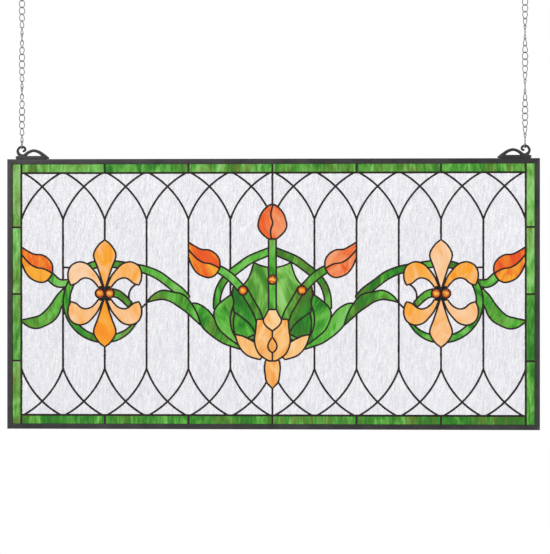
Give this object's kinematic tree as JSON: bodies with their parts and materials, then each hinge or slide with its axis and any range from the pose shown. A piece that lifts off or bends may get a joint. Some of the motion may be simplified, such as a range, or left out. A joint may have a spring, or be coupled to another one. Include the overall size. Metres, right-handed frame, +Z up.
{
  "type": "stained glass window panel",
  "caption": "Wide hanging leaded-glass panel in a slim metal frame: flowers and leaves on a clear lattice, green border, two hook brackets with chains.",
  "frame": {"origin": "midway between the places where the two hanging rings rest on their hooks, so the panel hangs below z = 0", "axes": "+X along the panel's width, +Y from the front of the glass to its back, +Z up the chains"},
  "size_m": [0.876, 0.0154, 0.7311],
  "materials": {
    "dark_metal": "dark patina, satin",
    "solder": "dark brown patina on solder",
    "chain_steel": "dull grey",
    "clear_glass": "clear, rippled",
    "border_glass": "streaky green",
    "leaf_glass": "streaky green",
    "pale_orange_glass": "streaky pale orange",
    "pink_orange_glass": "streaky peach",
    "orange_glass": "streaky deep orange",
    "amber_glass": "clear amber, domed"
  },
  "bodies": {
    "root": {"frame_top": "dark_metal", "frame_bottom": "dark_metal", "frame_left": "dark_metal", "frame_right": "dark_metal", "leading": "solder", "border_top": "border_glass", "border_bottom": "border_glass", "border_right": "border_glass", "border_left": "border_glass", "clear_upper": "clear_glass", "clear_lower": "clear_glass", "bud_centre": "orange_glass", "centre_flower": "pink_orange_glass", "foliage": "leaf_glass", "clear_side_right": "clear_glass", "clear_side_left": "clear_glass", "clear_hoop_window_top_right": "clear_glass", "clear_hoop_window_top_left": "clear_glass", "clear_hoop_window_middle_right": "clear_glass", "clear_hoop_window_middle_left": "clear_glass", "clear_hoop_window_side_right": "clear_glass", "clear_hoop_window_side_left": "clear_glass", "fleur_petal_top_right": "pale_orange_glass", "fleur_petal_top_left": "pale_orange_glass", "fleur_petal_bottom_right": "pale_orange_glass", "fleur_petal_bottom_left": "pale_orange_glass", "fleur_petal_upper_outer_right": "pale_orange_glass", "fleur_petal_upper_outer_left": "pale_orange_glass", "fleur_petal_upper_inner_right": "pale_orange_glass", "fleur_petal_upper_inner_left": "pale_orange_glass", "fleur_petal_lower_outer_right": "pale_orange_glass", "fleur_petal_lower_outer_left": "pale_orange_glass", "fleur_petal_lower_inner_right": "pale_orange_glass", "fleur_petal_lower_inner_left": "pale_orange_glass", "bud_side_right": "orange_glass", "bud_side_left": "orange_glass", "bud_inner_right": "orange_glass", "bud_inner_left": "orange_glass", "tendril_right": "leaf_glass", "tendril_left": "leaf_glass", "ring_and_stem_right": "leaf_glass", "ring_and_stem_left": "leaf_glass", "ring_lower_inner_right": "leaf_glass", "ring_lower_inner_left": "leaf_glass", "jewel_centre": "amber_glass", "jewel_hoop_right": "amber_glass", "jewel_fleur_outer_right": "amber_glass", "jewel_fleur_inner_right": "amber_glass", "jewel_hoop_left": "amber_glass", "jewel_fleur_outer_left": "amber_glass", "jewel_fleur_inner_left": "amber_glass", "bracket_right": "dark_metal", "bracket_left": "dark_metal", "chain_right": "chain_steel", "hanging_ring_right": "chain_steel", "chain_left": "chain_steel", "hanging_ring_left": "chain_steel"}
  },
  "joints": []
}
